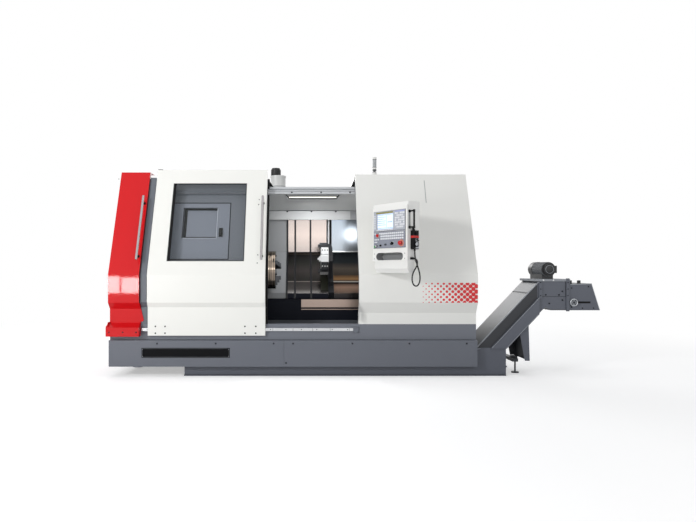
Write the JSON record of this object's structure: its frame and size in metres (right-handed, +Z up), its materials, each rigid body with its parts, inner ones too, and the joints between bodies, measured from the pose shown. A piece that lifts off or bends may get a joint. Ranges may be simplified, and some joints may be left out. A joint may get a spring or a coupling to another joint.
{
  "type": "turning lathe",
  "caption": "Slant bed turning lathe in a sheet metal enclosure with a sliding door, swivelling control pendant and hinged belt chip conveyor.",
  "frame": {"origin": "centre of the cabinet's footprint on the floor, on the underside of the coolant tank", "axes": "+X along the spindle from headstock to tailstock, +Y to the back of the machine, +Z up"},
  "size_m": [5.268, 2.4074, 2.452],
  "materials": {
    "bed_casting": "machined",
    "levelling_feet": "machined",
    "coolant_tank": "satin",
    "base_frame": "satin",
    "front_panel_left": "satin",
    "front_panel_right": "satin",
    "lower_door_rail": "machined",
    "top_beam": "satin",
    "work_liner": "satin",
    "work_lamp": "satin",
    "headstock_cover": "satin",
    "hatch": "satin",
    "hatch_latch": "matte",
    "right_cover": "satin",
    "rear_enclosure": "satin",
    "cabinet_door": "satin",
    "main_switch": "gloss",
    "door_panel": "satin",
    "door_window": "clear",
    "door_handle": "polished",
    "door_carriages": "machined",
    "end_door_panel": "satin",
    "end_door_handle": "polished",
    "headstock_housing": "machined",
    "spindle": "machined",
    "chuck_body": "machined",
    "jaw_1": "machined",
    "jaw_2": "machined",
    "jaw_3": "machined",
    "spindle_motor": "satin",
    "motor_pulley": "machined",
    "drive_belt": "matte",
    "way_cover_left_1": "machined",
    "way_cover_left_2": "machined",
    "way_cover_left_3": "machined",
    "way_cover_right": "machined",
    "saddle": "machined",
    "cross_slide": "machined",
    "turret_disc": "machined",
    "tool_holders": "machined",
    "tailstock_body": "machined",
    "tailstock_quill": "machined",
    "pendant_bracket": "satin",
    "pendant_housing": "satin",
    "pendant_screen": "matte",
    "operator_panel": "matte",
    "estop_button": "gloss",
    "cycle_button": "gloss",
    "override_knob": "gloss",
    "pendant_fittings": "matte",
    "handheld_unit": "matte",
    "handheld_dial": "matte",
    "handheld_cable": "matte",
    "mist_collector": "satin",
    "signal_tower": "gloss",
    "conveyor_frame": "satin",
    "discharge_chute": "satin",
    "conveyor_belt": "machined",
    "conveyor_shaft": "machined",
    "conveyor_motor": "satin"
  },
  "bodies": {
    "machine": {"bed_casting": "bed_casting", "levelling_feet": "levelling_feet", "coolant_tank": "coolant_tank", "base_frame": "base_frame", "front_panel_left": "front_panel_left", "front_panel_right": "front_panel_right", "lower_door_rail": "lower_door_rail", "top_beam": "top_beam", "work_liner": "work_liner", "work_lamp": "work_lamp", "headstock_cover": "headstock_cover", "hatch": "hatch", "right_cover": "right_cover", "rear_enclosure": "rear_enclosure", "headstock_housing": "headstock_housing", "spindle_motor": "spindle_motor", "drive_belt": "drive_belt", "pendant_bracket": "pendant_bracket", "mist_collector": "mist_collector", "signal_tower": "signal_tower", "conveyor_frame": "conveyor_frame", "conveyor_belt": "conveyor_belt", "conveyor_motor": "conveyor_motor", "discharge_chute": "discharge_chute"},
    "hatch_latch": {"hatch_latch": "hatch_latch"},
    "door": {"door_panel": "door_panel", "door_window": "door_window", "door_handle": "door_handle", "door_carriages": "door_carriages"},
    "end_door": {"end_door_panel": "end_door_panel", "end_door_handle": "end_door_handle"},
    "motor_pulley": {"motor_pulley": "motor_pulley"},
    "spindle": {"spindle": "spindle", "chuck_body": "chuck_body"},
    "jaw_1": {"jaw_1": "jaw_1"},
    "jaw_2": {"jaw_2": "jaw_2"},
    "jaw_3": {"jaw_3": "jaw_3"},
    "way_cover_left_1": {"way_cover_left_1": "way_cover_left_1"},
    "way_cover_left_2": {"way_cover_left_2": "way_cover_left_2"},
    "saddle": {"saddle": "saddle", "way_cover_left_3": "way_cover_left_3", "way_cover_right": "way_cover_right"},
    "cross_slide": {"cross_slide": "cross_slide"},
    "turret": {"turret_disc": "turret_disc", "tool_holders": "tool_holders"},
    "tailstock": {"tailstock_body": "tailstock_body"},
    "quill": {"tailstock_quill": "tailstock_quill"},
    "pendant": {"pendant_housing": "pendant_housing", "pendant_screen": "pendant_screen", "operator_panel": "operator_panel", "pendant_fittings": "pendant_fittings", "handheld_unit": "handheld_unit", "handheld_cable": "handheld_cable"},
    "estop_button": {"estop_button": "estop_button"},
    "cycle_button": {"cycle_button": "cycle_button"},
    "override_knob": {"override_knob": "override_knob"},
    "handheld_dial": {"handheld_dial": "handheld_dial"},
    "conveyor_shaft": {"conveyor_shaft": "conveyor_shaft"},
    "cabinet_door": {"cabinet_door": "cabinet_door"},
    "main_switch": {"main_switch": "main_switch"}
  },
  "joints": [
    {"name": "door_slide", "type": "slide", "parent": "machine", "child": "door", "axis": [1, 0, 0], "range_m": [0, 0.988]},
    {"name": "end_door_hinge", "type": "hinge", "parent": "machine", "child": "end_door", "pos_m": [-1.966, -0.27, 1], "axis": [0, 0, 1], "range_deg": [-95, 0]},
    {"name": "latch_turn", "type": "hinge", "parent": "machine", "child": "hatch_latch", "pos_m": [-0.805, -0.61149, 1.5475], "axis": [0, 0.9298, -0.3681], "range_deg": [0, 90]},
    {"name": "spindle_turn", "type": "hinge", "parent": "machine", "child": "spindle", "pos_m": [0, -0.475, 1.132], "axis": [1, 0, 0], "continuous": true},
    {"name": "jaw_1_slide", "type": "slide", "parent": "spindle", "child": "jaw_1", "axis": [0, -0.866, 0.5], "range_m": [-0.008, 0.008]},
    {"name": "jaw_2_slide", "type": "slide", "parent": "spindle", "child": "jaw_2", "axis": [0, 0, -1], "range_m": [-0.008, 0.008]},
    {"name": "jaw_3_slide", "type": "slide", "parent": "spindle", "child": "jaw_3", "axis": [0, 0.866, 0.5], "range_m": [-0.008, 0.008]},
    {"name": "motor_pulley_turn", "type": "hinge", "parent": "machine", "child": "motor_pulley", "pos_m": [0, 0.405, 1.5], "axis": [1, 0, 0], "continuous": true},
    {"name": "saddle_slide", "type": "slide", "parent": "machine", "child": "saddle", "axis": [1, 0, 0], "range_m": [-0.3, 0.34]},
    {"name": "way_cover_left_2_slide", "type": "slide", "parent": "machine", "child": "way_cover_left_2", "axis": [1, 0, 0], "range_m": [-0.21, 0.238]},
    {"name": "way_cover_left_1_slide", "type": "slide", "parent": "machine", "child": "way_cover_left_1", "axis": [1, 0, 0], "range_m": [-0.105, 0.119]},
    {"name": "cross_slide_slide", "type": "slide", "parent": "saddle", "child": "cross_slide", "axis": [0, 0.7071, 0.7071], "range_m": [0, 0.26]},
    {"name": "turret_turn", "type": "hinge", "parent": "cross_slide", "child": "turret", "pos_m": [0, -0.34489, 1.26211], "axis": [1, 0, 0], "continuous": true},
    {"name": "tailstock_slide", "type": "slide", "parent": "machine", "child": "tailstock", "axis": [1, 0, 0], "range_m": [-0.35, 0.15]},
    {"name": "quill_slide", "type": "slide", "parent": "tailstock", "child": "quill", "axis": [1, 0, 0], "range_m": [-0.15, 0]},
    {"name": "pendant_swivel", "type": "hinge", "parent": "machine", "child": "pendant", "pos_m": [1.06546, -0.94656, 1.5], "axis": [0, 0, 1], "range_deg": [0, 50]},
    {"name": "estop_push", "type": "slide", "parent": "pendant", "child": "estop_button", "axis": [0.829, 0.5592, 0], "range_m": [0, 0.005], "stiffness_N_per_m": 900},
    {"name": "cycle_push", "type": "slide", "parent": "pendant", "child": "cycle_button", "axis": [0.829, 0.5592, 0], "range_m": [0, 0.004], "stiffness_N_per_m": 600},
    {"name": "override_turn", "type": "hinge", "parent": "pendant", "child": "override_knob", "pos_m": [1.00344, -1.2212, 1.402], "axis": [0.829, 0.5592, 0], "range_deg": [-60, 120]},
    {"name": "dial_turn", "type": "hinge", "parent": "pendant", "child": "handheld_dial", "pos_m": [1.20373, -1.38403, 1.386], "axis": [0.5592, -0.829, 0], "continuous": true},
    {"name": "conveyor_turn", "type": "hinge", "parent": "machine", "child": "conveyor_shaft", "pos_m": [3, 0, 0.786], "axis": [0, 1, 0], "continuous": true},
    {"name": "cabinet_hinge", "type": "hinge", "parent": "machine", "child": "cabinet_door", "pos_m": [1.514, 0.941, 1.3], "axis": [0, 0, 1], "range_deg": [-110, 0]},
    {"name": "switch_turn", "type": "hinge", "parent": "cabinet_door", "child": "main_switch", "pos_m": [0.79, 0.955, 1.6], "axis": [0, 1, 0], "range_deg": [0, 90]}
  ],
  "couplings": [
    {"joint": "jaw_2_slide", "follows": "jaw_1_slide", "ratio": 1},
    {"joint": "jaw_3_slide", "follows": "jaw_1_slide", "ratio": 1},
    {"joint": "motor_pulley_turn", "follows": "spindle_turn", "ratio": 1.4546},
    {"joint": "way_cover_left_2_slide", "follows": "saddle_slide", "ratio": 0.7},
    {"joint": "way_cover_left_1_slide", "follows": "saddle_slide", "ratio": 0.35}
  ]
}
